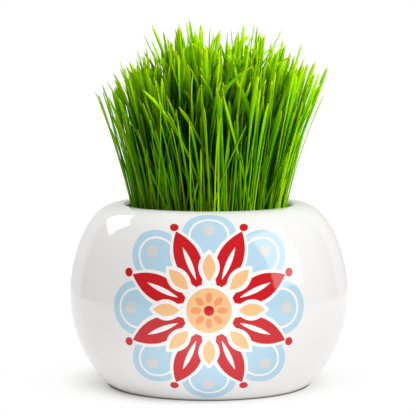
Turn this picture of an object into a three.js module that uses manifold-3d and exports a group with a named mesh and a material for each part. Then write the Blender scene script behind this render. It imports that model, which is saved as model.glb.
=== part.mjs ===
// A wheatgrass pot: a squat, round, slip-cast ceramic pot filled with soil. A bed of sprouted wheat
// lies on the soil just below the mouth, and its blades stand up through the mouth and fan outward.
// Millimetres, +Z up. The origin is the centre of the foot, on the surface that the pot stands on.

import * as THREE from "three";
import { mergeVertices } from "three/addons/utils/BufferGeometryUtils.js";
import Module from "manifold-3d";

const wasm = await Module();
wasm.setup();

// Pot
const POT_RADIUS = 75; // at the belly, the widest point
const POT_HEIGHT = 97.8;
const BELLY_HEIGHT = 50;
const FOOT_RADIUS = 53.3; // outer edge of the ring that the pot stands on
const FOOT_WIDTH = 5; // of that ring
const FOOT_RECESS = 1.5; // how far the underside is hollowed inside the ring
const FOOT_CHAMFER = 1; // slope between the ring and the hollow
const RIM_RADIUS = 49.3; // where the shoulder has levelled out
const MOUTH_RADIUS = 45;
const WALL = 5;
const LOWER_CURVE = { across: 1.19, up: 2.12 }; // powers of the curve from foot to belly
const UPPER_CURVE = { across: 2.02, up: 1.73 }; // powers of the curve from belly to rim
const OUTER_STEPS = 8; // straight lengths in each half of the outside
const INNER_STEPS = 5; // and of the inside, which the soil hides
const LIP_STEPS = 4;
const ROUND_SIDES = 48;

// Soil
const GAP = 0.3; // kept between neighbouring pieces
const SOIL_EDGE = 84.5; // height of the soil at the wall
const SOIL_TOP = 86.5; // height of the soil round the sprouted bed
const BED_FLOOR = 83.5; // bottom of the shallow round hole that the bed lies in

// Sprouted bed, in cells of equal area: one in the middle, then rings of 6 and 12
const BED_RADIUS = 42;
const BED_TOP = 88.5;
const RING_CELLS = [1, 6, 12];
const ARC_STEP = THREE.MathUtils.degToRad(15); // longest straight side of a cell's round edge

// Wheat blades
const SEEDLINGS = 480; // sown, before those that would cross a neighbour are left out
const SEED = 20;
const GOLDEN_ANGLE = Math.PI * (3 - Math.sqrt(5));
const ROOT_HEIGHT = 85; // the blades' roots are sunk this deep into the bed
const ROOT_MARGIN = 1.5; // least distance from a root to the edge of its cell
const FAN = 0.29; // slope outward of the blades at the edge of the bed
const FAN_SCATTER = 0.03; // how much that slope differs from blade to blade
const SWAY = 0.08; // slope sideways, at most
const CROWN_TOP = 199; // height of the tallest tips, over the middle
const CROWN_DROP = 38; // how much lower the tips are at the edge
const CROWN_POWER = 1.7; // 2 is a round crown, more is flatter over the middle
const TIP_SCATTER = 30; // spread of the tips' heights below the crown
const SCATTER_POWER = 1.4; // 1 spreads them evenly, more gathers them at the crown
const SHORT_SHARE = 0.1; // share of late seedlings, which are shorter
const SHORT_LENGTH = [0.45, 0.75]; // their length, as a share of a full blade's
const BEND = 1.45; // 1 leans straight, more curls outward towards the tip
const TWIST = 0.9; // radians between a blade's face at the root and at the tip, at most
const FACE_SCATTER = 1.1; // radians that a face turns from looking outward, at most
const BLADE_WIDTH = [2.9, 3.8];
const SHEATH_SHARE = 0.5; // of that width, at the root
const WIDENING = 0.6; // of that width, gained from the root to the tip before the point takes it off
const POINT_POWER = 8; // how late along its length a blade runs to its point
const BLADE_THICKNESS = 0.9; // at the keel
const BLADE_SIDES = 3; // two edges and a keel
const BLADE_RINGS = [0, 0.4, 0.82, 1]; // shares of its length where a blade changes: root to tip
const BLADE_CLEAR = 1.15; // least distance between two blades' middle planes
const LIP_CLEAR = 0.7; // least distance from a blade's edge to the lip
const TEST_STEP = 3; // height between the levels where blades are compared
const TRIES = 24;

const glaze = new THREE.MeshStandardMaterial({ color: 0xf1f0ee, roughness: 0.12, metalness: 0 });
const earth = new THREE.MeshStandardMaterial({ color: 0x3a2a1d, roughness: 0.95, metalness: 0 });
const leaf = new THREE.MeshStandardMaterial({ color: 0x66a012, roughness: 0.5, metalness: 0 });

// A repeatable stream of random numbers from 0 to 1.
function randomStream(seed) {
  let state = seed;
  return () => {
    state = (state + 0x6d2b79f5) | 0;
    let t = Math.imul(state ^ (state >>> 15), 1 | state);
    t = (t + Math.imul(t ^ (t >>> 7), 61 | t)) ^ t;
    return ((t ^ (t >>> 14)) >>> 0) / 2 ** 32;
  };
}

const random = randomStream(SEED);
const between = ([low, high]) => low + (high - low) * random();
const eitherWay = (size) => size * (2 * random() - 1);

// Points on a quarter of a rounded outline, from level with the axis end (angle 0) to the belly.
function quarterPoint(angle, inner, outer, rise, curve) {
  return new THREE.Vector2(
    inner + (outer - inner) * Math.sin(angle) ** (2 / curve.across),
    rise * Math.cos(angle) ** (2 / curve.up),
  );
}

// The lower half of a pot outline, from the foot up to the belly.
function lowerHalf(steps, footRadius, bellyRadius, floor) {
  const rise = BELLY_HEIGHT - floor;
  return Array.from({ length: steps + 1 }, (_, i) => {
    const angle = (Math.PI / 2) * (i / steps);
    const p = quarterPoint(angle, footRadius, bellyRadius, rise, LOWER_CURVE);
    return p.set(p.x, BELLY_HEIGHT - p.y);
  });
}

// The upper half, from the belly up to a height at or below the rim.
function upperHalf(steps, rimRadius, bellyRadius, rim, height = rim) {
  const rise = rim - BELLY_HEIGHT;
  const last = Math.acos(((height - BELLY_HEIGHT) / rise) ** (UPPER_CURVE.up / 2));
  return Array.from({ length: steps + 1 }, (_, i) => {
    const angle = THREE.MathUtils.lerp(Math.PI / 2, last, i / steps);
    const p = quarterPoint(angle, rimRadius, bellyRadius, rise, UPPER_CURVE);
    return p.set(p.x, BELLY_HEIGHT + p.y);
  });
}

// A solid of revolution about +Z from its outline, given from the axis round to the axis.
function turned(outline) {
  return new THREE.LatheGeometry(outline, ROUND_SIDES).rotateX(Math.PI / 2);
}

const point = (x, y) => new THREE.Vector2(x, y);

function potGeometry() {
  const lipRadius = WALL / 2;
  const lip = Array.from({ length: LIP_STEPS + 1 }, (_, i) => {
    const angle = Math.PI * (0.5 + i / LIP_STEPS);
    return point(
      MOUTH_RADIUS + lipRadius + lipRadius * Math.cos(angle),
      POT_HEIGHT - lipRadius + lipRadius * Math.sin(angle),
    );
  });
  const footInside = FOOT_RADIUS - FOOT_WIDTH;
  const floor = FOOT_RECESS + WALL;
  const inside = [
    ...lowerHalf(INNER_STEPS, footInside, POT_RADIUS - WALL, floor).slice(0, -1),
    ...upperHalf(INNER_STEPS, RIM_RADIUS, POT_RADIUS - WALL, POT_HEIGHT - WALL),
  ];
  return turned([
    point(0, FOOT_RECESS),
    point(footInside - FOOT_CHAMFER, FOOT_RECESS),
    point(footInside, 0),
    ...lowerHalf(OUTER_STEPS, FOOT_RADIUS, POT_RADIUS, 0).slice(0, -1),
    ...upperHalf(OUTER_STEPS, RIM_RADIUS, POT_RADIUS, POT_HEIGHT),
    ...lip,
    ...inside.reverse(),
    point(0, floor),
  ]);
}

// Soil fills the pot to just under the mouth, with a shallow round hole for the sprouted bed.
function soilGeometry() {
  const floor = FOOT_RECESS + WALL;
  const bellyRadius = POT_RADIUS - WALL - GAP;
  const holeRadius = BED_RADIUS + GAP;
  return turned([
    point(0, floor),
    ...lowerHalf(INNER_STEPS, FOOT_RADIUS - FOOT_WIDTH - GAP, bellyRadius, floor).slice(0, -1),
    ...upperHalf(INNER_STEPS, RIM_RADIUS - GAP, bellyRadius, POT_HEIGHT - WALL - GAP, SOIL_EDGE),
    point(holeRadius, SOIL_TOP),
    point(holeRadius, BED_FLOOR),
    point(0, BED_FLOOR),
  ]);
}

// The cells of the bed: inner and outer radius, first angle and angle spanned.
function bedCells() {
  const total = RING_CELLS.reduce((sum, n) => sum + n, 0);
  const cells = [];
  for (const count of RING_CELLS) {
    const radiusAround = (n) => BED_RADIUS * Math.sqrt(n / total);
    const inner = radiusAround(cells.length);
    const outer = radiusAround(cells.length + count);
    const span = (2 * Math.PI) / count;
    for (let i = 0; i < count; i++) cells.push({ inner, outer, start: i * span, span, whole: count === 1 });
  }
  return cells;
}

// The slab of matted roots and grains in one cell, half a gap inside the cell on every side.
function bedSlab({ inner, outer, start, span, whole }) {
  const steps = Math.ceil(span / ARC_STEP);
  const corner = (radius, share) => {
    const margin = whole ? 0 : GAP / 2 / radius;
    const angle = start + margin + (span - 2 * margin) * share;
    return point(radius * Math.cos(angle), radius * Math.sin(angle));
  };
  const arc = (radius) => Array.from({ length: steps + 1 }, (_, i) => corner(radius, i / steps));
  const outerArc = arc(outer - GAP / 2);
  const outline = whole ? outerArc.slice(0, -1) : [...outerArc, ...arc(inner + GAP / 2).reverse()];
  const slab = new THREE.ExtrudeGeometry(new THREE.Shape(outline), {
    depth: BED_TOP - BED_FLOOR,
    bevelEnabled: false,
  });
  return slab.translate(0, 0, BED_FLOOR);
}

// The nearest place to a polar point that keeps a root well inside its cell.
function insideCell({ inner, outer, start, span, whole }, radius, angle) {
  const r = THREE.MathUtils.clamp(radius, whole ? 0 : inner + ROOT_MARGIN, outer - ROOT_MARGIN);
  const margin = whole ? 0 : ROOT_MARGIN / r;
  return point(r, THREE.MathUtils.clamp(angle, start + margin, start + span - margin));
}

// Width of a blade along its length: a narrow sheath, widest past half way, then a point.
const widthAt = (along, width) => width * (1 - along ** POINT_POWER) * (SHEATH_SHARE + WIDENING * along);

// One blade from its root, drawn at random: its middle, direction and width at each ring.
function drawBlade(root) {
  const spread = root.x / BED_RADIUS;
  const length = random() < SHORT_SHARE ? between(SHORT_LENGTH) : 1;
  const fullTop = CROWN_TOP - CROWN_DROP * spread ** CROWN_POWER - TIP_SCATTER * random() ** SCATTER_POWER;
  const top = ROOT_HEIGHT + (fullTop - ROOT_HEIGHT) * length;
  const rise = top - ROOT_HEIGHT;
  const lean = rise * (FAN * spread + eitherWay(FAN_SCATTER));
  const sway = rise * eitherWay(SWAY);
  const face = root.y + eitherWay(FACE_SCATTER);
  const twist = eitherWay(TWIST);
  const width = between(BLADE_WIDTH);
  const outward = point(Math.cos(root.y), Math.sin(root.y));
  const sideways = point(-outward.y, outward.x);
  const rings = BLADE_RINGS.map((along) => {
    const middle = outward.clone().multiplyScalar(root.x + lean * along ** BEND);
    middle.addScaledVector(sideways, sway * along ** BEND);
    const turn = face + twist * along;
    return {
      height: ROOT_HEIGHT + rise * along,
      middle,
      across: point(-Math.sin(turn), Math.cos(turn)),
      facing: point(Math.cos(turn), Math.sin(turn)),
      width: widthAt(along, width),
    };
  });
  return { top, rings };
}

// The two edges of a blade at a height.
function edgesAt({ rings }, height) {
  const next = rings.findIndex((ring) => ring.height > height);
  const [below, above] = [rings[next - 1], rings[next]];
  const share = (height - below.height) / (above.height - below.height);
  const edge = ({ middle, across, width }, side) =>
    middle.clone().addScaledVector(across, (side * width) / 2);
  return [-1, 1].map((side) => edge(below, side).lerp(edge(above, side), share));
}

function distanceToSegment(p, [a, b]) {
  const line = b.clone().sub(a);
  const share = THREE.MathUtils.clamp(p.clone().sub(a).dot(line) / Math.max(line.lengthSq(), 1e-9), 0, 1);
  return p.distanceTo(a.clone().addScaledVector(line, share));
}

function segmentsCross([a, b], [c, d]) {
  const side = (p, q, r) => Math.sign((q.x - p.x) * (r.y - p.y) - (q.y - p.y) * (r.x - p.x));
  return side(a, b, c) !== side(a, b, d) && side(c, d, a) !== side(c, d, b);
}

function segmentDistance(one, other) {
  if (segmentsCross(one, other)) return 0;
  const toOther = one.map((p) => distanceToSegment(p, other));
  const toOne = other.map((p) => distanceToSegment(p, one));
  return Math.min(...toOther, ...toOne);
}

// The blade's edges at every test level, worked out once.
function withLevels(blade) {
  blade.levels = [];
  for (let height = ROOT_HEIGHT; height < blade.top; height += TEST_STEP) {
    blade.levels.push(edgesAt(blade, height));
  }
  return blade;
}

function bladesClear(one, other) {
  const shared = Math.min(one.levels.length, other.levels.length);
  const reach = BLADE_WIDTH[1] + BLADE_CLEAR;
  for (let i = 0; i < shared; i++) {
    const near = one.levels[i][0].distanceTo(other.levels[i][0]) < 2 * reach;
    if (near && segmentDistance(one.levels[i], other.levels[i]) < BLADE_CLEAR) return false;
  }
  return true;
}

// Blades pass through the mouth without touching the lip.
function clearsThroat(blade) {
  return blade.levels.every((edges, i) => {
    const above = ROOT_HEIGHT + i * TEST_STEP > POT_HEIGHT;
    return above || edges.every((p) => p.length() < MOUTH_RADIUS - LIP_CLEAR);
  });
}

// Grains are sown on a spiral that spaces them evenly. A blade that crosses another is drawn again,
// and a seedling that finds no clear place is left out.
function growBlades(cells) {
  const grown = [];
  for (let i = 0; i < SEEDLINGS; i++) {
    const radius = BED_RADIUS * Math.sqrt((i + 0.5) / SEEDLINGS);
    const angle = (i * GOLDEN_ANGLE) % (2 * Math.PI);
    const cell = cells.find(
      (c) => radius >= c.inner && radius < c.outer && angle >= c.start && angle < c.start + c.span,
    );
    const root = insideCell(cell, radius, angle);
    for (let attempt = 0; attempt < TRIES; attempt++) {
      const blade = withLevels(drawBlade(root));
      if (clearsThroat(blade) && grown.every((other) => bladesClear(blade, other))) {
        grown.push({ ...blade, cell });
        break;
      }
    }
  }
  return grown;
}

// A blade's solid: a three-sided cone, flattened to two edges and a keel and bent along its curve.
function bladeGeometry({ rings }) {
  const steps = rings.length - 1;
  const cone = new THREE.ConeGeometry(1, 1, BLADE_SIDES, steps);
  const position = cone.getAttribute("position");
  const edgeReach = Math.sin(Math.PI / BLADE_SIDES); // of the two edges from the cone's axis
  const keelReach = 1 + Math.cos(Math.PI / BLADE_SIDES); // from the edges to the keel
  for (let i = 0; i < position.count; i++) {
    const level = position.getY(i) + 0.5;
    const ring = rings[Math.round(level * steps)];
    const radius = Math.max(1 - level, 1e-6);
    const edge = (position.getX(i) / radius / edgeReach) * (ring.width / 2);
    const keel = (position.getZ(i) / radius / keelReach) * BLADE_THICKNESS;
    const place = ring.middle.clone().addScaledVector(ring.across, edge);
    if (level < 1) place.addScaledVector(ring.facing, keel);
    position.setXYZ(i, place.x, place.y, ring.height);
  }
  return cone;
}

// A closed geometry as a solid that can be joined to another.
function solid(geometry) {
  geometry.deleteAttribute("normal");
  geometry.deleteAttribute("uv");
  const merged = mergeVertices(geometry);
  const made = new wasm.Mesh({
    numProp: 3,
    vertProperties: merged.getAttribute("position").array,
    triVerts: new Uint32Array(merged.index.array),
  });
  return new wasm.Manifold(made);
}

function geometryOf(body) {
  const { vertProperties, triVerts } = body.getMesh();
  const geometry = new THREE.BufferGeometry();
  geometry.setAttribute("position", new THREE.BufferAttribute(vertProperties, 3));
  geometry.setIndex(new THREE.BufferAttribute(triVerts, 1));
  geometry.computeVertexNormals();
  return geometry;
}

// One tuft: the blades that grow in a cell of the bed, joined to its slab of roots and grains.
function tuftGeometry(cell, blades) {
  const joined = blades
    .filter((blade) => blade.cell === cell)
    .reduce((body, blade) => body.add(solid(bladeGeometry(blade))), solid(bedSlab(cell)));
  return geometryOf(joined);
}

function piece(name, geometry, material) {
  const mesh = new THREE.Mesh(geometry, material);
  mesh.name = name;
  return mesh;
}

const wheatgrassPot = new THREE.Group();
wheatgrassPot.add(piece("pot", potGeometry(), glaze));
wheatgrassPot.add(piece("soil", soilGeometry(), earth));

const cells = bedCells();
const blades = growBlades(cells);
cells.forEach((cell, i) => {
  const name = `wheatgrass_tuft_${String(i + 1).padStart(2, "0")}`;
  wheatgrassPot.add(piece(name, tuftGeometry(cell, blades), leaf));
});

export default wheatgrassPot;
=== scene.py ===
# Wheatgrass pot: a round white glazed pot of young wheat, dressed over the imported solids.
# Metres, +Z up. The printed front of the pot faces -Y, towards the camera.

import math
import random
from types import SimpleNamespace

import bmesh
import bpy
from mathutils import Matrix, Vector, noise


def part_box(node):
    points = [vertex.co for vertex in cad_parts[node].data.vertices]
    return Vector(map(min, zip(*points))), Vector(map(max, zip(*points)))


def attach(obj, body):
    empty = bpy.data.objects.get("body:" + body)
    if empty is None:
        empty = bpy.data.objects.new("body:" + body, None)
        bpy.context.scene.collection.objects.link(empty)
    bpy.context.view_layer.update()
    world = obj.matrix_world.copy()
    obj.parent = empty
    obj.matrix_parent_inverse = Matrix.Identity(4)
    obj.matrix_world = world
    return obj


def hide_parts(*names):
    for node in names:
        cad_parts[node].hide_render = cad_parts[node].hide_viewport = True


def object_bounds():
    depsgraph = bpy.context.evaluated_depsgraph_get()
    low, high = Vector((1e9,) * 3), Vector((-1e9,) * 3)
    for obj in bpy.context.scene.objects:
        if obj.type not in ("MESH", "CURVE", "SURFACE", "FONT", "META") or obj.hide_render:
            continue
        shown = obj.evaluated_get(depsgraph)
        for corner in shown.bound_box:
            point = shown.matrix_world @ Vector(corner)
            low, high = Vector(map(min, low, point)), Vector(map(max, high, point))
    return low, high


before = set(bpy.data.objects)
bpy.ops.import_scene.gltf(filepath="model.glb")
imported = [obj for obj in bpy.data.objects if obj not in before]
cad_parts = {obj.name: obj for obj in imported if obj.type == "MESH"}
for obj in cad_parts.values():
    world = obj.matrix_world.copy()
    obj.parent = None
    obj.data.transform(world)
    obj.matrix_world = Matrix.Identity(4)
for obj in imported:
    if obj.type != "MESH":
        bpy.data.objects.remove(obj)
cadLow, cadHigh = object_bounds()
scene = bpy.context.scene
mm = 0.001
fullTurn = 2 * math.pi
goldenTurn = math.pi * (3 - math.sqrt(5))  # from each point of an even spiral to the next
white = (1.0, 1.0, 1.0, 1.0)
print("frame: %d nodes" % len(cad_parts))


def linear(code):  # sRGB hex to linear colour
    shares = [int(code[i:i + 2], 16) / 255 for i in (1, 3, 5)]
    return [s / 12.92 if s <= 0.04045 else ((s + 0.055) / 1.055) ** 2.4 for s in shares] + [1.0]


def addNode(tree, kind, inputs=(), **settings):  # inputs are values, sockets or nodes, by name or in order
    node = tree.nodes.new("ShaderNode" + kind)
    for name, value in settings.items():
        setattr(node, name, value)
    shown = [socket for socket in node.inputs if socket.enabled]
    pairs = inputs.items() if isinstance(inputs, dict) else enumerate(inputs)
    for key, value in pairs:
        socket = shown[key] if isinstance(key, int) else next(s for s in shown if s.name == key)
        if isinstance(value, bpy.types.Node):
            value = next(s for s in value.outputs if s.enabled)
        if isinstance(value, bpy.types.NodeSocket):
            tree.links.new(value, socket)
        else:
            socket.default_value = value
    return node


def newMaterial(name):
    material = bpy.data.materials.new(name)
    material.use_nodes = True
    material.node_tree.nodes.clear()
    return material, material.node_tree


def meshOf(name, bm):  # uses the bmesh up
    mesh = bpy.data.meshes.new(name)
    bm.to_mesh(mesh)
    bm.free()
    return mesh


def addObject(name, data):
    thing = bpy.data.objects.new(name, data)
    scene.collection.objects.link(thing)
    return thing


def finishPiece(name, bm, material, slotName, *nodes):  # nodes are the solids that it stands for
    mesh = meshOf(name, bm)
    mesh.materials.append(material)
    mesh.shade_smooth()
    piece = addObject(name, mesh)
    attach(piece, "root")
    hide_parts(*nodes)
    print("%s: %d faces" % (name, len(mesh.polygons)))
    return piece


# Camera and stage

camera = {
    "place": (-0.0005, -1.0549, 0.1938),
    "tilt": 5.347,  # degrees down from level
    "lens": 169.8,  # mm
    "sensor": 36.0,  # mm across
}
lens = bpy.data.cameras.new("camera")
lens.lens = camera["lens"]
lens.sensor_width = camera["sensor"]
viewer = addObject("camera", lens)
viewer.location = camera["place"]
viewer.rotation_euler = (math.radians(90 - camera["tilt"]), 0.0, 0.0)
scene.camera = viewer
scene.view_settings.view_transform = "Standard"

studio = {
    "floorRadius": 0.45,
    "floorSides": 64,
    "paper": "#F0F0EF",
    "paperGlow": 1.0,
    "frontGlow": 2.6,  # painted light: the paper in front glows brighter, and lights the pot from below
    "frontSpot": (0.0, -0.140, 0.0),
    "frontReach": 0.085,
    "shadows": [  # painted shadows on the glowing paper: centre, inner and outer radius, share of the white that is left at the inner one
        ((0.0, 0.0, 0.0), 0.0534, 0.0556, 0.0),  # painted shadow: the dark line round the foot
        ((-0.006, 0.0065, 0.0), 0.050, 0.078, 0.0),  # the soft shadow, a little to the left and behind
        ((0.0, 0.0, 0.0), 0.053, 0.115, 0.75),  # and its faint edge
    ],
    # painted shadow colour of the paper at the foot
    "paintedFootShadow": "#7A7672",
    "roomLight": 0.22,  # strength of the light from the room
    "wallLight": 0.76,  # and from the white wall behind
    "wallEdge": (0.60, 0.72),  # how far round towards +Y the wall begins, as a sine
    "backdrop": 1.0,  # strength of the white that the camera sees
    "softboxes": {  # bearing from the camera's side towards +X, elevation, distance, width, height, watts
        "overheadSoftbox": (20.0, 72.0, 1.30, 1.2, 1.0, 10.5),
        "rightSoftbox": (68.0, 30.0, 1.15, 0.62, 0.95, 6.5),
        "backLeftSoftbox": (-126.0, 37.0, 1.10, 0.50, 0.36, 4.0),
        "frontLeftFill": (-35.0, 30.0, 1.50, 0.80, 0.80, 3.8),
        "wheatBackSoftbox": (140.0, 45.0, 1.20, 0.90, 0.60, 8.5),
        "wheatKeySoftbox": (60.0, 24.0, 1.30, 0.50, 0.50, 13.0),
    },
    "aim": (cadLow + cadHigh) / 4,  # about the middle of the pot
    "onWheatAlone": ("wheatBackSoftbox", "wheatKeySoftbox"),  # flagged off all but the wheat blades
    "onPotAlone": ("frontLeftFill",),  # flagged off all but the pot and the floor
    "hiddenInGlaze": ("overheadSoftbox", "frontLeftFill"),  # these leave no highlight on the pot
}


def seamlessPaper():  # matt white paper with painted light: it glows white away from the pot, with painted shadows round the foot
    material, tree = newMaterial("seamless paper")
    place = addNode(tree, "TexCoord").outputs["Object"]
    fades = []
    for centre, inner, outer, left in studio["shadows"]:
        distance = addNode(tree, "VectorMath", [place, centre], operation="DISTANCE").outputs["Value"]
        fades.append(addNode(tree, "MapRange", {
            "Value": distance, "From Min": inner, "From Max": outer, "To Min": left},
            interpolation_type="SMOOTHSTEP"))
    # painted shadow: the paper darkens to this colour at the foot
    colour = addNode(tree, "Mix", {
        "Factor": fades[0], "A": linear(studio["paintedFootShadow"]), "B": linear(studio["paper"])}, data_type="RGBA")
    paper = addNode(tree, "BsdfPrincipled", {"Base Color": colour, "Roughness": 0.9})
    # painted light: the paper glows everywhere but in the painted shadows, and brighter in front of the pot
    paintedGlowShare = fades[0]
    for fade in fades[1:]:
        paintedGlowShare = addNode(tree, "Math", [paintedGlowShare, fade], operation="MULTIPLY")
    fromFront = addNode(tree, "VectorMath", [place, studio["frontSpot"]], operation="DISTANCE")
    glow = addNode(tree, "MapRange", {
        "Value": fromFront.outputs["Value"], "From Max": studio["frontReach"],
        "To Min": studio["frontGlow"], "To Max": studio["paperGlow"]}, interpolation_type="SMOOTHSTEP")
    paintedGlow = addNode(tree, "Emission", {"Color": white, "Strength": glow})
    addNode(tree, "OutputMaterial", {"Surface": addNode(tree, "MixShader", [paintedGlowShare, paper, paintedGlow])})
    return material


bm = bmesh.new()
bmesh.ops.create_circle(bm, cap_ends=True, segments=studio["floorSides"], radius=studio["floorRadius"])
floor = addObject("studio_floor", meshOf("studio_floor", bm))
floor.data.materials.append(seamlessPaper())

for name, (bearing, elevation, distance, width, height, watts) in studio["softboxes"].items():
    light = bpy.data.lights.new(name, "AREA")
    light.shape = "RECTANGLE"
    light.size, light.size_y, light.energy = width, height, watts
    softbox = addObject(name, light)
    turn, lift = math.radians(bearing), math.radians(elevation)
    back = Vector((math.sin(turn) * math.cos(lift), -math.cos(turn) * math.cos(lift), math.sin(lift)))
    softbox.location = back * distance + studio["aim"]
    softbox.rotation_euler = (-back).to_track_quat("-Z", "Y").to_euler()
    softbox.visible_glossy = name not in studio["hiddenInGlaze"]

world = bpy.data.worlds.new("studio")
world.use_nodes = True
tree = world.node_tree
tree.nodes.clear()
toward = addNode(tree, "SeparateXYZ", [addNode(tree, "TexCoord").outputs["Generated"]])
surround = addNode(tree, "MapRange", {
    "Value": toward.outputs["Y"], "From Min": studio["wallEdge"][0], "From Max": studio["wallEdge"][1],
    "To Min": studio["roomLight"], "To Max": studio["wallLight"]}, interpolation_type="SMOOTHSTEP")
seen = addNode(tree, "LightPath").outputs["Is Camera Ray"]
strength = addNode(tree, "Mix", {"Factor": seen, "A": surround, "B": studio["backdrop"]}, data_type="FLOAT")
sky = addNode(tree, "Background", {"Color": white, "Strength": strength})
addNode(tree, "OutputWorld", {"Surface": sky})
scene.world = world
print("stage: floor, camera and %d softboxes" % len(studio["softboxes"]))


# Pot

pot = {
    "radius": cadHigh.x,  # at the belly
    "height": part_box("pot")[1].z,
    "belly": 50.0 * mm,  # height of the widest point
    "foot": 53.3 * mm,  # outer radius of the ring that it stands on
    "footWidth": 5.0 * mm,
    "footRecess": 1.5 * mm,
    "footSlope": 1.0 * mm,
    "rim": 49.3 * mm,  # radius where the shoulder has levelled out
    "mouth": 45.0 * mm,
    "wall": 5.0 * mm,
    "lowerCurve": (1.19, 2.12),  # powers across and up, foot to belly
    "upperCurve": (2.02, 1.73),  # powers across and up, belly to rim
    "steps": 40,  # in each half of the outside
    "insideSteps": 20,  # in each half of the inside
    "lipSteps": 12,
    "sides": 144,
    "glaze": "#ECEBE9",
    "ripple": 14.0 * mm,  # size of the waves in the glaze
    "rippleDepth": 0.25 * mm,
    "gloss": (0.05, 0.085),  # roughness of the glaze across its ripple
    "pinhole": "#B9AE9E",
    "pinholeSpacing": 9.0 * mm,
    "pinholeEdge": (0.035, 0.02),  # radius where one begins and where it is darkest, in spacings
    "pinholeShade": 0.22,
    "thinGlaze": "#EFE8DC",  # where it runs off the lip and the body shows through
    "thinReach": 2.5 * mm,  # to either side of the lip's top
    "thinShare": 0.5,
    "bareClay": "#DCD0BE",
    "bareHeight": 0.5 * mm,  # the foot is wiped clean up to here
    "bareWaver": 0.6 * mm,  # how unsteady the wiped edge is
    "bareRoughness": 0.8,
}

rosette = {  # printed under the glaze on the front
    "spokes": 8,
    "inks": {
        "blue": "#B4D3E4", "white": "#F2F1EF", "grey": "#D2D2D1",
        "red": "#C9151E", "peach": "#F3C089", "orange": "#EE9A66",
    },
    "shapes": [  # outline, on or between the spokes, distance out, half length and half width in mm, ink
        ("oval", "on", 38.0, 15.0, 14.2, "blue"),
        ("oval", "on", 0.0, 40.0, 40.0, "blue"),
        ("oval", "on", 38.0, 11.2, 10.6, "white"),
        ("oval", "on", 38.0, 10.0, 9.4, "blue"),
        ("oval", "on", 42.0, 3.2, 3.2, "grey"),
        ("leaf", "between", 27.5, 19.0, 8.6, "white"),
        ("leaf", "between", 28.0, 16.5, 6.6, "red"),
        ("leaf", "between", 26.0, 9.0, 1.3, "white"),
        ("oval", "between", 47.0, 2.3, 2.3, "red"),
        ("leaf", "on", 22.0, 9.5, 5.4, "white"),
        ("leaf", "on", 22.0, 7.0, 3.2, "peach"),
        ("oval", "on", 0.0, 13.5, 13.5, "white"),
        ("oval", "on", 0.0, 11.5, 11.5, "peach"),
        ("oval", "on", 6.6, 2.6, 1.7, "orange"),
        ("oval", "on", 0.0, 2.6, 2.6, "red"),
    ],
}


def quarter(steps, inner, outer, height, powers):  # from the flat end out to the belly, as radius and rise
    for i in range(steps + 1):
        turn = math.pi / 2 * i / steps
        radius = inner + (outer - inner) * math.sin(turn) ** (2 / powers[0])
        yield radius, height * math.cos(turn) ** (2 / powers[1])


def wallOutline(steps, footRadius, rimRadius, bellyRadius, low, high):  # foot to rim, as radius and height
    belly = pot["belly"]
    lower = quarter(steps, footRadius, bellyRadius, belly - low, pot["lowerCurve"])
    upper = quarter(steps, rimRadius, bellyRadius, high - belly, pot["upperCurve"])
    downward = [(radius, belly + rise) for radius, rise in upper]
    return [(radius, belly - rise) for radius, rise in lower] + downward[-2::-1]


def insideOutline(steps, gap):  # the pot's inside, or what fills it with a gap to the wall
    return wallOutline(
        steps, pot["foot"] - pot["footWidth"] - gap, pot["rim"] - gap, pot["radius"] - pot["wall"] - gap,
        pot["footRecess"] + pot["wall"], pot["height"] - pot["wall"] - gap)


def potOutline():
    recess, footInside = pot["footRecess"], pot["foot"] - pot["footWidth"]
    underside = [(0.0, recess), (footInside - pot["footSlope"], recess), (footInside, 0.0)]
    outside = wallOutline(pot["steps"], pot["foot"], pot["rim"], pot["radius"], 0.0, pot["height"])
    lipRadius = pot["wall"] / 2
    across, up = pot["mouth"] + lipRadius, pot["height"] - lipRadius
    turns = [math.pi * (0.5 + i / pot["lipSteps"]) for i in range(pot["lipSteps"] + 1)]
    lip = [(across + lipRadius * math.cos(turn), up + lipRadius * math.sin(turn)) for turn in turns]
    inside = insideOutline(pot["insideSteps"], 0.0)[::-1]
    return underside + outside + lip + inside + [(0.0, recess + pot["wall"])]


def turnOutline(bm, points, sides):  # spins an outline about the axis into a closed body
    rise = bm.verts.layers.float.new("rise")  # distance along the outline
    corners = [bm.verts.new((radius, 0.0, height)) for radius, height in points]
    for before, after in zip(corners, corners[1:]):
        after[rise] = before[rise] + (after.co - before.co).length
    edges = [bm.edges.new(pair) for pair in zip(corners, corners[1:])]
    bmesh.ops.spin(
        bm, geom=corners + edges, axis=(0, 0, 1), cent=(0, 0, 0), angle=fullTurn,
        steps=sides, use_merge=True)
    bmesh.ops.remove_doubles(bm, verts=bm.verts[:], dist=0.001 * mm)
    bmesh.ops.recalc_face_normals(bm, faces=bm.faces[:])


def outlineLength(points):
    return sum((Vector(a) - Vector(b)).length for a, b in zip(points, points[1:]))


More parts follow.
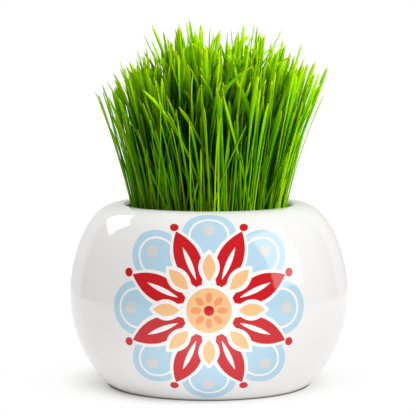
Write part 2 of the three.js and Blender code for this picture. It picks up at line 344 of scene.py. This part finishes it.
def printedColour(tree, place, bellyRise):  # the rosette, laid on the wall by distance round and up it
    spot = addNode(tree, "SeparateXYZ", [place])
    front = addNode(tree, "Math", [spot.outputs["Y"], -1.0], operation="MULTIPLY")
    turn = addNode(tree, "Math", [spot.outputs["X"], front], operation="ARCTAN2")
    flat = addNode(tree, "CombineXYZ", {"X": spot.outputs["X"], "Y": spot.outputs["Y"]})
    radius = addNode(tree, "VectorMath", [flat], operation="LENGTH").outputs["Value"]
    across = addNode(tree, "Math", [turn, radius], operation="MULTIPLY")
    rise = addNode(tree, "Attribute", attribute_name="rise").outputs["Fac"]
    up = addNode(tree, "Math", [rise, bellyRise], operation="SUBTRACT")
    offset = addNode(tree, "CombineXYZ", {"X": across, "Y": up})
    reach = addNode(tree, "VectorMath", [offset], operation="LENGTH").outputs["Value"]
    bearing = addNode(tree, "Math", [across, up], operation="ARCTAN2")
    halfRepeat = math.pi / rosette["spokes"]
    fromSpoke = addNode(tree, "Math", [bearing, halfRepeat], operation="PINGPONG")
    fromGap = addNode(tree, "Math", [halfRepeat, fromSpoke], operation="SUBTRACT")
    folded = {}
    for where, angle in (("on", fromSpoke), ("between", fromGap)):
        shares = [addNode(tree, "Math", [angle], operation=wave) for wave in ("COSINE", "SINE")]
        folded[where] = [addNode(tree, "Math", [reach, share], operation="MULTIPLY") for share in shares]
    colour = linear(pot["glaze"])
    for shape, where, distance, halfLength, halfWidth, ink in rosette["shapes"]:
        out, aside = folded[where]
        along = addNode(tree, "Math", [out, distance * mm], operation="SUBTRACT")
        along = addNode(tree, "Math", [along, halfLength * mm], operation="DIVIDE")
        along = addNode(tree, "Math", [along, along], operation="MULTIPLY")
        aside = addNode(tree, "Math", [aside, halfWidth * mm], operation="DIVIDE")
        if shape == "oval":
            aside = addNode(tree, "Math", [aside, aside], operation="MULTIPLY")
        total = addNode(tree, "Math", [along, aside], operation="ADD")
        inked = addNode(tree, "Math", [total, 1.0], operation="LESS_THAN")
        colour = addNode(tree, "Mix", {
            "Factor": inked, "A": colour, "B": linear(rosette["inks"][ink])}, data_type="RGBA")
    return colour


def glazedEarthenware(bellyRise, lipRise):  # slip-cast and dipped: a glassy white coat, faintly rippled
    material, tree = newMaterial("glazed earthenware")
    place = addNode(tree, "TexCoord").outputs["Object"]
    waves = addNode(tree, "TexNoise", {"Vector": place, "Scale": 1 / pot["ripple"], "Detail": 1.5})
    ripple = waves.outputs["Fac"]
    pinholes = addNode(tree, "TexVoronoi", {"Vector": place, "Scale": 1 / pot["pinholeSpacing"]})
    pitted = addNode(tree, "MapRange", {
        "Value": pinholes.outputs["Distance"], "From Min": pot["pinholeEdge"][0],
        "From Max": pot["pinholeEdge"][1], "To Max": pot["pinholeShade"]})
    rise = addNode(tree, "Attribute", attribute_name="rise").outputs["Fac"]
    fromLip = addNode(tree, "Math", [rise, lipRise], operation="SUBTRACT")
    fromLip = addNode(tree, "Math", [fromLip], operation="ABSOLUTE")
    thin = addNode(tree, "MapRange", {
        "Value": fromLip, "From Min": pot["thinReach"], "From Max": 0.0, "To Max": pot["thinShare"]})
    height = addNode(tree, "SeparateXYZ", [place]).outputs["Z"]
    wavering = addNode(tree, "Math", [ripple, pot["bareWaver"], height], operation="MULTIPLY_ADD")
    wipedTo = pot["bareHeight"] + pot["bareWaver"] / 2
    wiped = addNode(tree, "Math", [wavering, wipedTo], operation="LESS_THAN")
    colour = printedColour(tree, place, bellyRise)
    for share, name in ((pitted, "pinhole"), (thin, "thinGlaze"), (wiped, "bareClay")):
        colour = addNode(tree, "Mix", {
            "Factor": share, "A": colour, "B": linear(pot[name])}, data_type="RGBA")
    gloss = addNode(tree, "MapRange", {
        "Value": ripple, "To Min": pot["gloss"][0], "To Max": pot["gloss"][1]})
    rough = addNode(tree, "Mix", {
        "Factor": wiped, "A": gloss, "B": pot["bareRoughness"]}, data_type="FLOAT")
    bump = addNode(tree, "Bump", {"Height": ripple, "Strength": 0.12, "Distance": pot["rippleDepth"]})
    glaze = addNode(tree, "BsdfPrincipled", {
        "Base Color": colour, "Roughness": rough, "IOR": 1.5, "Normal": bump})
    addNode(tree, "OutputMaterial", {"Surface": glaze})
    return material


outline = potOutline()
belly = max(range(len(outline)), key=lambda i: outline[i][0])
lipTop = next(i for i in range(belly, len(outline)) if outline[i][0] <= pot["mouth"] + pot["wall"] / 2)
bm = bmesh.new()
turnOutline(bm, outline, pot["sides"])
glaze = glazedEarthenware(outlineLength(outline[:belly + 1]), outlineLength(outline[:lipTop + 1]))
glazedPot = finishPiece("glazed_pot", bm, glaze, "white_glaze", "pot")


# Soil

soil = {
    "gap": 0.3 * mm,  # to the pot's wall
    "edge": 84.5 * mm,  # height at the wall
    "top": 86.5 * mm,  # height round the sprouted bed
    "bedRadius": 42.3 * mm,
    "bedFloor": 83.5 * mm,
    "wallSteps": 12,  # in each half of the wall
    "ringSteps": 8,  # from the wall to the bed
    "sides": 144,
    "lump": 0.9 * mm,  # height of the clods on top
    "lumpSize": 3.5 * mm,  # and how far apart they are
    "crumbs": 260,
    "crumbSize": (0.5 * mm, 1.3 * mm),
    "crumbShape": (0.7, 1.25),  # radii of its corners, in crumb sizes
    "crumbMargins": (0.8 * mm, 1.5 * mm),  # to the bed and to the rim
    "seed": 5,
    "colours": ("#1E140C", "#4A3523"),
    "grit": 2.5 * mm,
    "gritDepth": 0.6 * mm,
}


def roughen(bm, height, lump, lumpSize):  # makes the top lumpy, from this height up
    slack = lump / 10  # for rounding
    for vert in bm.verts:
        if vert.co.z > height - slack:
            vert.co.z += lump * noise.noise(vert.co / lumpSize)


def strew(bm, shape, places):  # copies of a loose mesh, one at each place
    for place in places:
        copy = shape.copy()
        copy.transform(place)
        bm.from_mesh(copy)
        bpy.data.meshes.remove(copy)


def coatTwoTone(tree, pattern, colours, relief, depth, roughness):  # colours and bump from one pattern
    colour = addNode(tree, "Mix", {
        "Factor": pattern, "A": linear(colours[0]), "B": linear(colours[1])}, data_type="RGBA")
    bump = addNode(tree, "Bump", {"Height": pattern, "Strength": relief, "Distance": depth})
    surface = addNode(tree, "BsdfPrincipled", {"Base Color": colour, "Roughness": roughness, "Normal": bump})
    addNode(tree, "OutputMaterial", {"Surface": surface})


def pottingMix():  # moist peat and bark: dark, open and dull
    material, tree = newMaterial("potting mix")
    clods = addNode(tree, "TexNoise", {
        "Vector": addNode(tree, "TexCoord").outputs["Object"], "Scale": 1 / soil["grit"],
        "Detail": 6.0, "Roughness": 0.65})
    coatTwoTone(
        tree, clods.outputs["Fac"], soil["colours"], relief=0.8, depth=soil["gritDepth"], roughness=0.92)
    return material


def soilOutline():
    wall = [point for point in insideOutline(soil["wallSteps"], soil["gap"]) if point[1] < soil["edge"]]
    wallRadius, steps = wall[-1][0], soil["ringSteps"]
    ring = [(wallRadius + (soil["bedRadius"] - wallRadius) * i / steps,
             soil["edge"] + (soil["top"] - soil["edge"]) * i / steps) for i in range(steps + 1)]
    hole = [(soil["bedRadius"], soil["bedFloor"]), (0.0, soil["bedFloor"])]
    return [(0.0, wall[0][1])] + wall + ring + hole


draw = random.Random(soil["seed"])
bm = bmesh.new()
turnOutline(bm, soilOutline(), soil["sides"])
roughen(bm, soil["edge"], soil["lump"], soil["lumpSize"])
lumpy = bmesh.new()
for vert in bmesh.ops.create_icosphere(lumpy, subdivisions=1, radius=1.0)["verts"]:
    vert.co *= draw.uniform(*soil["crumbShape"])
crumb = meshOf("crumb", lumpy)
places = []
for i in range(soil["crumbs"]):
    reach = draw.uniform(soil["bedRadius"] + soil["crumbMargins"][0], pot["rim"] - soil["crumbMargins"][1])
    turn = draw.uniform(0, fullTurn)
    wayOut = (reach - soil["bedRadius"]) / (pot["rim"] - soil["bedRadius"])
    height = soil["top"] - (soil["top"] - soil["edge"]) * wayOut
    spot = Matrix.Translation((reach * math.cos(turn), reach * math.sin(turn), height))
    rolled = Matrix.Rotation(draw.uniform(0, fullTurn), 4, Vector((draw.random(), draw.random(), 1)))
    places.append(spot @ rolled @ Matrix.Scale(draw.uniform(*soil["crumbSize"]), 4))
strew(bm, crumb, places)
finishPiece("potting_soil", bm, pottingMix(), "potting_soil", "soil")


# Sprouted bed

bed = {
    "radius": 42.0 * mm,
    "floor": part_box("wheatgrass_tuft_01")[0].z,
    "top": 87.7 * mm,
    "steps": 20,  # from the edge to the middle
    "sides": 120,
    "lump": 0.7 * mm,  # height of the tangles on top
    "lumpSize": 2.6 * mm,  # and how far apart they are
    "rootColours": ("#6E5A3C", "#D9CFB2"),
    "rootSpacing": 1.885 * mm,
    "rootDepth": 0.4 * mm,
    "grains": 340,
    "grainSize": (3.1 * mm, 2.7 * mm, 6.2 * mm),  # width, height, length
    "grainFaces": (8, 6),  # round it and along it
    "groove": 0.3,  # depth of the groove down one side, in half heights
    "grooveWidth": 0.14,  # in widths
    "grainMargin": 3.2 * mm,  # to the edge of the bed
    "grainTilt": 25.0,  # degrees off level, at most
    "grainLift": (0.2 * mm, 1.0 * mm),  # of its middle above the bed
    "grainColours": ("#9A6B35", "#D8B077"),
    "bran": 3.0 * mm,  # size of the wrinkles
    "branDepth": 0.3 * mm,
    "seed": 11,
}


def mattedRoots():  # fine white rootlets over brown grit
    material, tree = newMaterial("matted roots")
    unit = 20 / fullTurn * bed["rootSpacing"]  # the wave texture has 20 waves to a full turn of units
    strands = addNode(tree, "TexWave", {
        "Vector": addNode(tree, "TexCoord").outputs["Object"], "Scale": 1 / unit,
        "Distortion": 14.0, "Detail": 3.0, "Detail Scale": 2.0})
    coatTwoTone(
        tree, strands.outputs["Fac"], bed["rootColours"], relief=0.7, depth=bed["rootDepth"], roughness=0.8)
    return material


def wheatGrain():  # dry bran: tan, satin and wrinkled
    material, tree = newMaterial("wheat grain")
    bran = addNode(tree, "TexNoise", {
        "Vector": addNode(tree, "TexCoord").outputs["Object"], "Scale": 1 / bed["bran"], "Detail": 4.0})
    coatTwoTone(
        tree, bran.outputs["Fac"], bed["grainColours"], relief=0.4, depth=bed["branDepth"], roughness=0.55)
    return material


def bedOutline():
    top = [(bed["radius"] * (1 - i / bed["steps"]), bed["top"]) for i in range(bed["steps"] + 1)]
    return [(0.0, bed["floor"]), (bed["radius"], bed["floor"])] + top


bm = bmesh.new()
turnOutline(bm, bedOutline(), bed["sides"])
roughen(bm, bed["top"], bed["lump"], bed["lumpSize"])
finishPiece("root_mat", bm, mattedRoots(), "potting_soil")

rounded = bmesh.new()
around, lengthwise = bed["grainFaces"]
bmesh.ops.create_uvsphere(rounded, u_segments=around, v_segments=lengthwise, radius=0.5)
for vert in rounded.verts:
    if vert.co.y > 0:
        vert.co.y *= 1 - bed["groove"] * math.exp(-(vert.co.x / bed["grooveWidth"]) ** 2)
bmesh.ops.scale(rounded, vec=bed["grainSize"], verts=rounded.verts[:])
kernel = meshOf("kernel", rounded)
draw = random.Random(bed["seed"])
places = []
for i in range(bed["grains"]):
    reach = (bed["radius"] - bed["grainMargin"]) * math.sqrt((i + 0.5) / bed["grains"])
    turn = i * goldenTurn
    lying = (Matrix.Rotation(draw.uniform(0, fullTurn), 4, "Z")
             @ Matrix.Rotation(math.radians(90 + draw.uniform(-1, 1) * bed["grainTilt"]), 4, "X")
             @ Matrix.Rotation(draw.uniform(0, fullTurn), 4, "Z"))
    height = bed["top"] + draw.uniform(*bed["grainLift"])
    places.append(Matrix.Translation((reach * math.cos(turn), reach * math.sin(turn), height)) @ lying)
bm = bmesh.new()
strew(bm, kernel, places)
finishPiece("wheat_grains", bm, wheatGrain(), "wheatgrass")


# Wheat blades

blades = {
    "count": 1900,
    "seed": 52,
    "rings": (1, 6, 12),  # tufts in the middle and in each ring round it
    "rootHeight": 85.5 * mm,
    "rootReach": 40.5 * mm,
    "rootScatter": 0.8 * mm,
    "fan": 0.28,  # slope outward of the outermost blades
    "fanScatter": 0.055,
    "hold": 0.6,  # more keeps short blades upright among their neighbours
    "crownTop": 199.6 * mm,
    "crownDrop": 36.0 * mm,  # how much lower the crown is at its edge
    "crownPower": 1.7,
    "crownTilt": 0.12,  # the crown is higher towards +X by this slope
    "tipScatter": 46.0 * mm,  # how far below the crown a tip may end
    "lateShare": 0.12,  # late seedlings, which are shorter
    "lateLength": (0.4, 0.8),
    "drift": 0.12,  # slope sideways
    "strayShare": 0.36,  # blades that lean across their neighbours
    "strayDrift": 0.42,
    "strayLean": (-0.4, 1.1),  # of the usual slope outward
    "clump": 0.16,  # slope shared by neighbours, which opens gaps between clumps
    "clumpSize": 11.0 * mm,
    "bend": (1.1, 1.5),  # power of the curve from root to tip, 1 is straight
    "nod": 0.22,  # how far a tip hangs over, as a share of the length, at most
    "nodPower": 2.5,  # more leaves most tips upright
    "nodCurve": 5,  # more keeps the nod nearer the tip
    "nodDrop": 0.6,  # how far the tip comes down, in nods
    "twist": 1.3,  # radians from root to tip, at most
    "faceScatter": 1.5,  # radians off facing outward, at most
    "width": (1.3 * mm, 2.8 * mm),
    "leastWidth": 0.16 * mm,  # at the tip
    "sheathWidth": (0.65 * mm, 1.05 * mm),
    "sheathEnd": (27.0 * mm, 43.0 * mm),  # height above the root where the leaf opens out of its sheath
    "opening": 45.0 * mm,  # and how much higher it is at full width
    "point": (4.0 * mm, 10.0 * mm),  # length of the tapering point
    "pointPower": 0.5,  # 1 is a straight taper, less is rounder
    "fold": (0.1, 0.35),  # depth of the fold along the middle, in half widths
    "sheathFold": 0.5,  # how much deeper it is at the root
    "thickness": 0.28 * mm,
    "segments": 9,
    "rowPower": 1.7,  # rows of faces are closer towards the tip
    "throat": 44.4 * mm,  # blades keep inside this where they pass the lip
    "stops": [  # colour from root to tip
        (0.0, "#98C828"), (0.08, "#6CC80A"), (0.25, "#5AC400"),
        (0.45, "#52CE00"), (0.75, "#76D600"), (1.0, "#CCE200"),
    ],
    "lightTint": "#CCF600",
    "lightFrom": 0.55,  # tints from here to 1 are lighter
    "darkTint": "#1C5C00",
    "darkFrom": 0.5,  # tints from here to 0 are darker
    "darkShare": 0.8,
    "tipTint": 0.72,  # tips are alike, lower down each blade has a tint of its own
    "mottle": 7.0 * mm,  # size of the lighter patches
    "mottleEdge": (0.35, 0.7),  # of the noise, where a patch begins and is full
    "mottleShare": 0.25,
    "veinSpacing": 0.45 * mm,  # drawn coarser than the real 0.2 mm so that they show
    "veinTint": "#B4E020",
    "veinShare": 0.14,
    "ribEdge": (0.09, 0.02),  # from the middle to where the rib begins and is full, in widths
    "ribShare": 0.22,
    "veinDepth": 0.08 * mm,
    "paintedShadeTint": "#3A7200",  # painted shade: the colour is multiplied towards this deep among the blades
    "paintedShadeDepth": (10.0 * mm, 34.0 * mm),  # depth at which the painted shade is full, from the side and from the top
    "litTop": 8.0 * mm,  # no painted shade on the crown down to here
    "sheen": "#D8F070",  # of the waxy skin
    "through": 0.35,  # share of the light that comes through the leaf
    "throughTint": "#E0D000",  # which it turns yellower
    "throughShare": 0.3,
}


def wheatLeaf():  # young cereal leaf: thin, lit from behind, satin with fine lengthwise veins, with painted shade deep among the blades
    material, tree = newMaterial("wheat leaf")
    place = addNode(tree, "TexCoord")
    uv = addNode(tree, "SeparateXYZ", [place.outputs["UV"]])
    across, along = uv.outputs["X"], uv.outputs["Y"]
    tint = addNode(tree, "Attribute", attribute_name="tint").outputs["Fac"]
    shade = addNode(tree, "Attribute", attribute_name="shade").outputs["Fac"]
    light = addNode(tree, "MapRange", {"Value": tint, "From Min": blades["lightFrom"], "From Max": 1.0})
    dark = addNode(tree, "MapRange", {
        "Value": tint, "From Min": blades["darkFrom"], "From Max": 0.0, "To Max": blades["darkShare"]})
    mottle = addNode(tree, "TexNoise", {
        "Vector": place.outputs["Object"], "Scale": 1 / blades["mottle"], "Detail": 3.0})
    patch = addNode(tree, "MapRange", {
        "Value": mottle.outputs["Fac"], "From Min": blades["mottleEdge"][0],
        "From Max": blades["mottleEdge"][1], "To Max": blades["mottleShare"]})
    veinCount = sum(blades["width"]) / 2 / blades["veinSpacing"]
    wave = addNode(tree, "Math", [across, fullTurn * veinCount], operation="MULTIPLY")
    wave = addNode(tree, "Math", [wave], operation="COSINE")
    vein = addNode(tree, "Math", [wave, 0.5, 0.5], operation="MULTIPLY_ADD")
    fromRib = addNode(tree, "Math", [across, 0.5], operation="SUBTRACT")
    fromRib = addNode(tree, "Math", [fromRib], operation="ABSOLUTE")
    rib = addNode(tree, "MapRange", {
        "Value": fromRib, "From Min": blades["ribEdge"][0], "From Max": blades["ribEdge"][1]})
    pale = addNode(tree, "Math", [vein, blades["veinShare"]], operation="MULTIPLY")
    pale = addNode(tree, "Math", [rib, blades["ribShare"], pale], operation="MULTIPLY_ADD")
    colour = addNode(tree, "ValToRGB", [along])
    stops = colour.color_ramp.elements
    while len(stops) < len(blades["stops"]):
        stops.new(1.0)
    for stop, (share, code) in zip(stops, blades["stops"]):
        stop.position, stop.color = share, linear(code)
    for share, name in ((light, "lightTint"), (dark, "darkTint"), (patch, "lightTint"), (pale, "veinTint")):
        colour = addNode(tree, "Mix", {
            "Factor": share, "A": colour, "B": linear(blades[name])}, data_type="RGBA")
    # painted shade: darker deep among the blades, from the shade attribute
    colour = addNode(tree, "Mix", {
        "Factor": shade, "A": colour, "B": linear(blades["paintedShadeTint"])},
        data_type="RGBA", blend_type="MULTIPLY")
    ridge = addNode(tree, "Math", [vein, rib], operation="ADD")
    bump = addNode(tree, "Bump", {"Height": ridge, "Strength": 0.35, "Distance": blades["veinDepth"]})
    skin = addNode(tree, "BsdfPrincipled", {
        "Base Color": colour, "Roughness": 0.45, "IOR": 1.42, "Specular IOR Level": 0.12,
        "Specular Tint": linear(blades["sheen"]), "Normal": bump})
    yellower = addNode(tree, "Mix", {
        "Factor": blades["throughShare"], "A": colour, "B": linear(blades["throughTint"])}, data_type="RGBA")
    glow = addNode(tree, "BsdfTranslucent", {"Color": yellower, "Normal": bump})
    leaf = addNode(tree, "MixShader", [blades["through"], skin, glow])
    addNode(tree, "OutputMaterial", {"Surface": leaf})
    return material


def tuftOf(reach, turn):  # number of the tuft whose cell holds a root, counted as the frame's tufts are
    total, before = sum(blades["rings"]), 0
    for count in blades["rings"]:
        if reach < bed["radius"] * math.sqrt((before + count) / total):
            return before + int(turn / fullTurn * count)
        before += count


def ease(share):  # 0 to 1 with soft ends
    share = min(1.0, max(0.0, share))
    return share * share * (3 - 2 * share)


def crownAt(spread):  # height of the crown this far out, from 0 in the middle to 1 at its edge
    return blades["crownTop"] - blades["crownDrop"] * spread ** blades["crownPower"]


def paintedShadeAt(spot):  # painted shade: 0 in the open, 1 deep among the blades
    edgeRise = crownAt(1.0) - blades["rootHeight"]
    climb = max(0.0, spot.z - blades["rootHeight"]) / edgeRise
    edge = blades["rootReach"] + blades["fan"] * edgeRise * climb ** (sum(blades["bend"]) / 2)
    spread = min(1.0, math.hypot(spot.x, spot.y) / edge)
    fromSide = (1 - spread) * edge
    fromTop = crownAt(spread) - blades["litTop"] - spot.z
    return ease(fromSide / blades["paintedShadeDepth"][0]) * ease(fromTop / blades["paintedShadeDepth"][1])


def drawBlade(reach, turn, draw):  # one blade's way from root to tip, its widths and its tint
    outward = Vector((math.cos(turn), math.sin(turn), 0.0))
    sideways = Vector((-outward.y, outward.x, 0.0))
    spread = reach / bed["radius"]
    late = draw.random() < blades["lateShare"]
    length = draw.uniform(*blades["lateLength"]) if late else 1.0
    crown = crownAt(spread) + blades["crownTilt"] * outward.x * reach
    top = crown - blades["tipScatter"] * draw.random()
    rise = (top - blades["rootHeight"]) * length
    held = (rise / (crown - blades["rootHeight"])) ** blades["hold"]
    lean = (blades["fan"] * spread + draw.uniform(-1, 1) * blades["fanScatter"]) * rise * held
    stray = draw.random() < blades["strayShare"]
    if stray:
        lean *= draw.uniform(*blades["strayLean"])
    drift = draw.uniform(-1, 1) * blades["strayDrift" if stray else "drift"] * rise
    drift += blades["clump"] * noise.noise(outward * reach / blades["clumpSize"]) * rise
    tip = outward * (reach + lean) + sideways * drift
    widest = blades["rootReach"] + (blades["fan"] + blades["fanScatter"]) * rise * held
    if tip.length > widest:
        tip *= widest / tip.length
    nod = draw.choice((-1, 1)) * blades["nod"] * draw.random() ** blades["nodPower"] * rise
    nod *= (rise / (blades["crownTop"] - blades["rootHeight"])) ** 2  # short blades stand stiffly
    return SimpleNamespace(
        root=outward * reach, tip=tip, sideways=sideways, rise=rise, nod=nod,
        bend=draw.uniform(*blades["bend"]),
        face=turn + draw.uniform(-1, 1) * blades["faceScatter"],
        twist=draw.uniform(-1, 1) * blades["twist"],
        width=draw.uniform(*blades["width"]),
        sheathWidth=draw.uniform(*blades["sheathWidth"]),
        sheathEnd=draw.uniform(*blades["sheathEnd"]),
        point=draw.uniform(*blades["point"]),
        fold=draw.uniform(*blades["fold"]),
        tint=draw.random())


def middleOf(blade, along):  # the point this far along, from 0 at the root to 1 at the tip
    spot = blade.root.lerp(blade.tip, along ** blade.bend)
    spot += blade.sideways * blade.nod * along ** blades["nodCurve"]
    inside = blades["throat"] - blade.width / 2
    if along * blade.rise <= pot["height"] - blades["rootHeight"] and spot.length > inside:
        spot *= inside / spot.length
    drop = abs(blade.nod) * blades["nodDrop"] * along ** (blades["nodCurve"] + 1)
    spot.z = blades["rootHeight"] + blade.rise * along - drop
    return spot


def halfWidthOf(blade, along):  # a narrow sheath, a leaf that opens out of it and a lance-shaped point
    opened = ease((along * blade.rise - blade.sheathEnd) / blades["opening"])
    taper = min(1.0, (1 - along) * blade.rise / blade.point) ** blades["pointPower"]
    width = (blade.sheathWidth + (blade.width - blade.sheathWidth) * opened) * taper
    return max(width, blades["leastWidth"]) / 2


def growBlade(bm, blade):  # a strip of faces along the blade, folded at its midrib
    tintLayer, paintedShadeLayer = (bm.verts.layers.float[name] for name in ("tint", "shade"))
    step = 0.02  # along the blade to either side, for its direction
    grid = bmesh.ops.create_grid(bm, x_segments=2, y_segments=blades["segments"], size=1.0, calc_uvs=True)
    for vert in grid["verts"]:
        side, along = vert.co.x, 1 - (0.5 - vert.co.y / 2) ** blades["rowPower"]
        above, below = middleOf(blade, min(along + step, 1.0)), middleOf(blade, max(along - step, 0.0))
        tangent = (above - below).normalized()
        facing = blade.face + blade.twist * along
        edge = Vector((-math.sin(facing), math.cos(facing), 0.0))
        edge = (edge - tangent * edge.dot(tangent)).normalized()
        halfWidth = halfWidthOf(blade, along)
        fold = blade.fold + blades["sheathFold"] * (1 - along) ** 3  # deepest at the root
        keel = (1 - abs(side)) * halfWidth * fold
        vert.co = middleOf(blade, along) + edge * side * halfWidth - edge.cross(tangent) * keel
        vert[tintLayer] = blade.tint + (blades["tipTint"] - blade.tint) * along ** 2
        # painted shade, stored on each vertex
        vert[paintedShadeLayer] = paintedShadeAt(vert.co)


leaf = wheatLeaf()
tuftNames = sorted(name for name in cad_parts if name.startswith("wheatgrass_tuft_"))
tuftMeshes = []
for name in tuftNames:
    bm = bmesh.new()
    bm.loops.layers.uv.new("blade")
    for layer in ("tint", "shade"):
        bm.verts.layers.float.new(layer)
    tuftMeshes.append(bm)
draw = random.Random(blades["seed"])
for i in range(blades["count"]):
    reach = blades["rootReach"] * math.sqrt((i + 0.5) / blades["count"])
    turn = i * goldenTurn % fullTurn
    rootReach = reach + draw.uniform(-1, 1) * blades["rootScatter"]
    growBlade(tuftMeshes[tuftOf(reach, turn)], drawBlade(rootReach, turn, draw))
print("wheat: %d blades in %d tufts" % (blades["count"], len(tuftNames)))
litWheat = bpy.data.collections.new("lit wheat")
for name, bm in zip(tuftNames, tuftMeshes):
    bmesh.ops.recalc_face_normals(bm, faces=bm.faces[:])
    bmesh.ops.solidify(bm, geom=bm.faces[:], thickness=blades["thickness"])
    litWheat.objects.link(finishPiece("wheat_blades_" + name[-2:], bm, leaf, "wheatgrass", name))

# Softboxes that are flagged off part of the set
litPot = bpy.data.collections.new("lit pot")
for piece in (floor, glazedPot):
    litPot.objects.link(piece)
for names, lit in ((studio["onWheatAlone"], litWheat), (studio["onPotAlone"], litPot)):
    for name in names:
        bpy.data.objects[name].light_linking.receiver_collection = lit
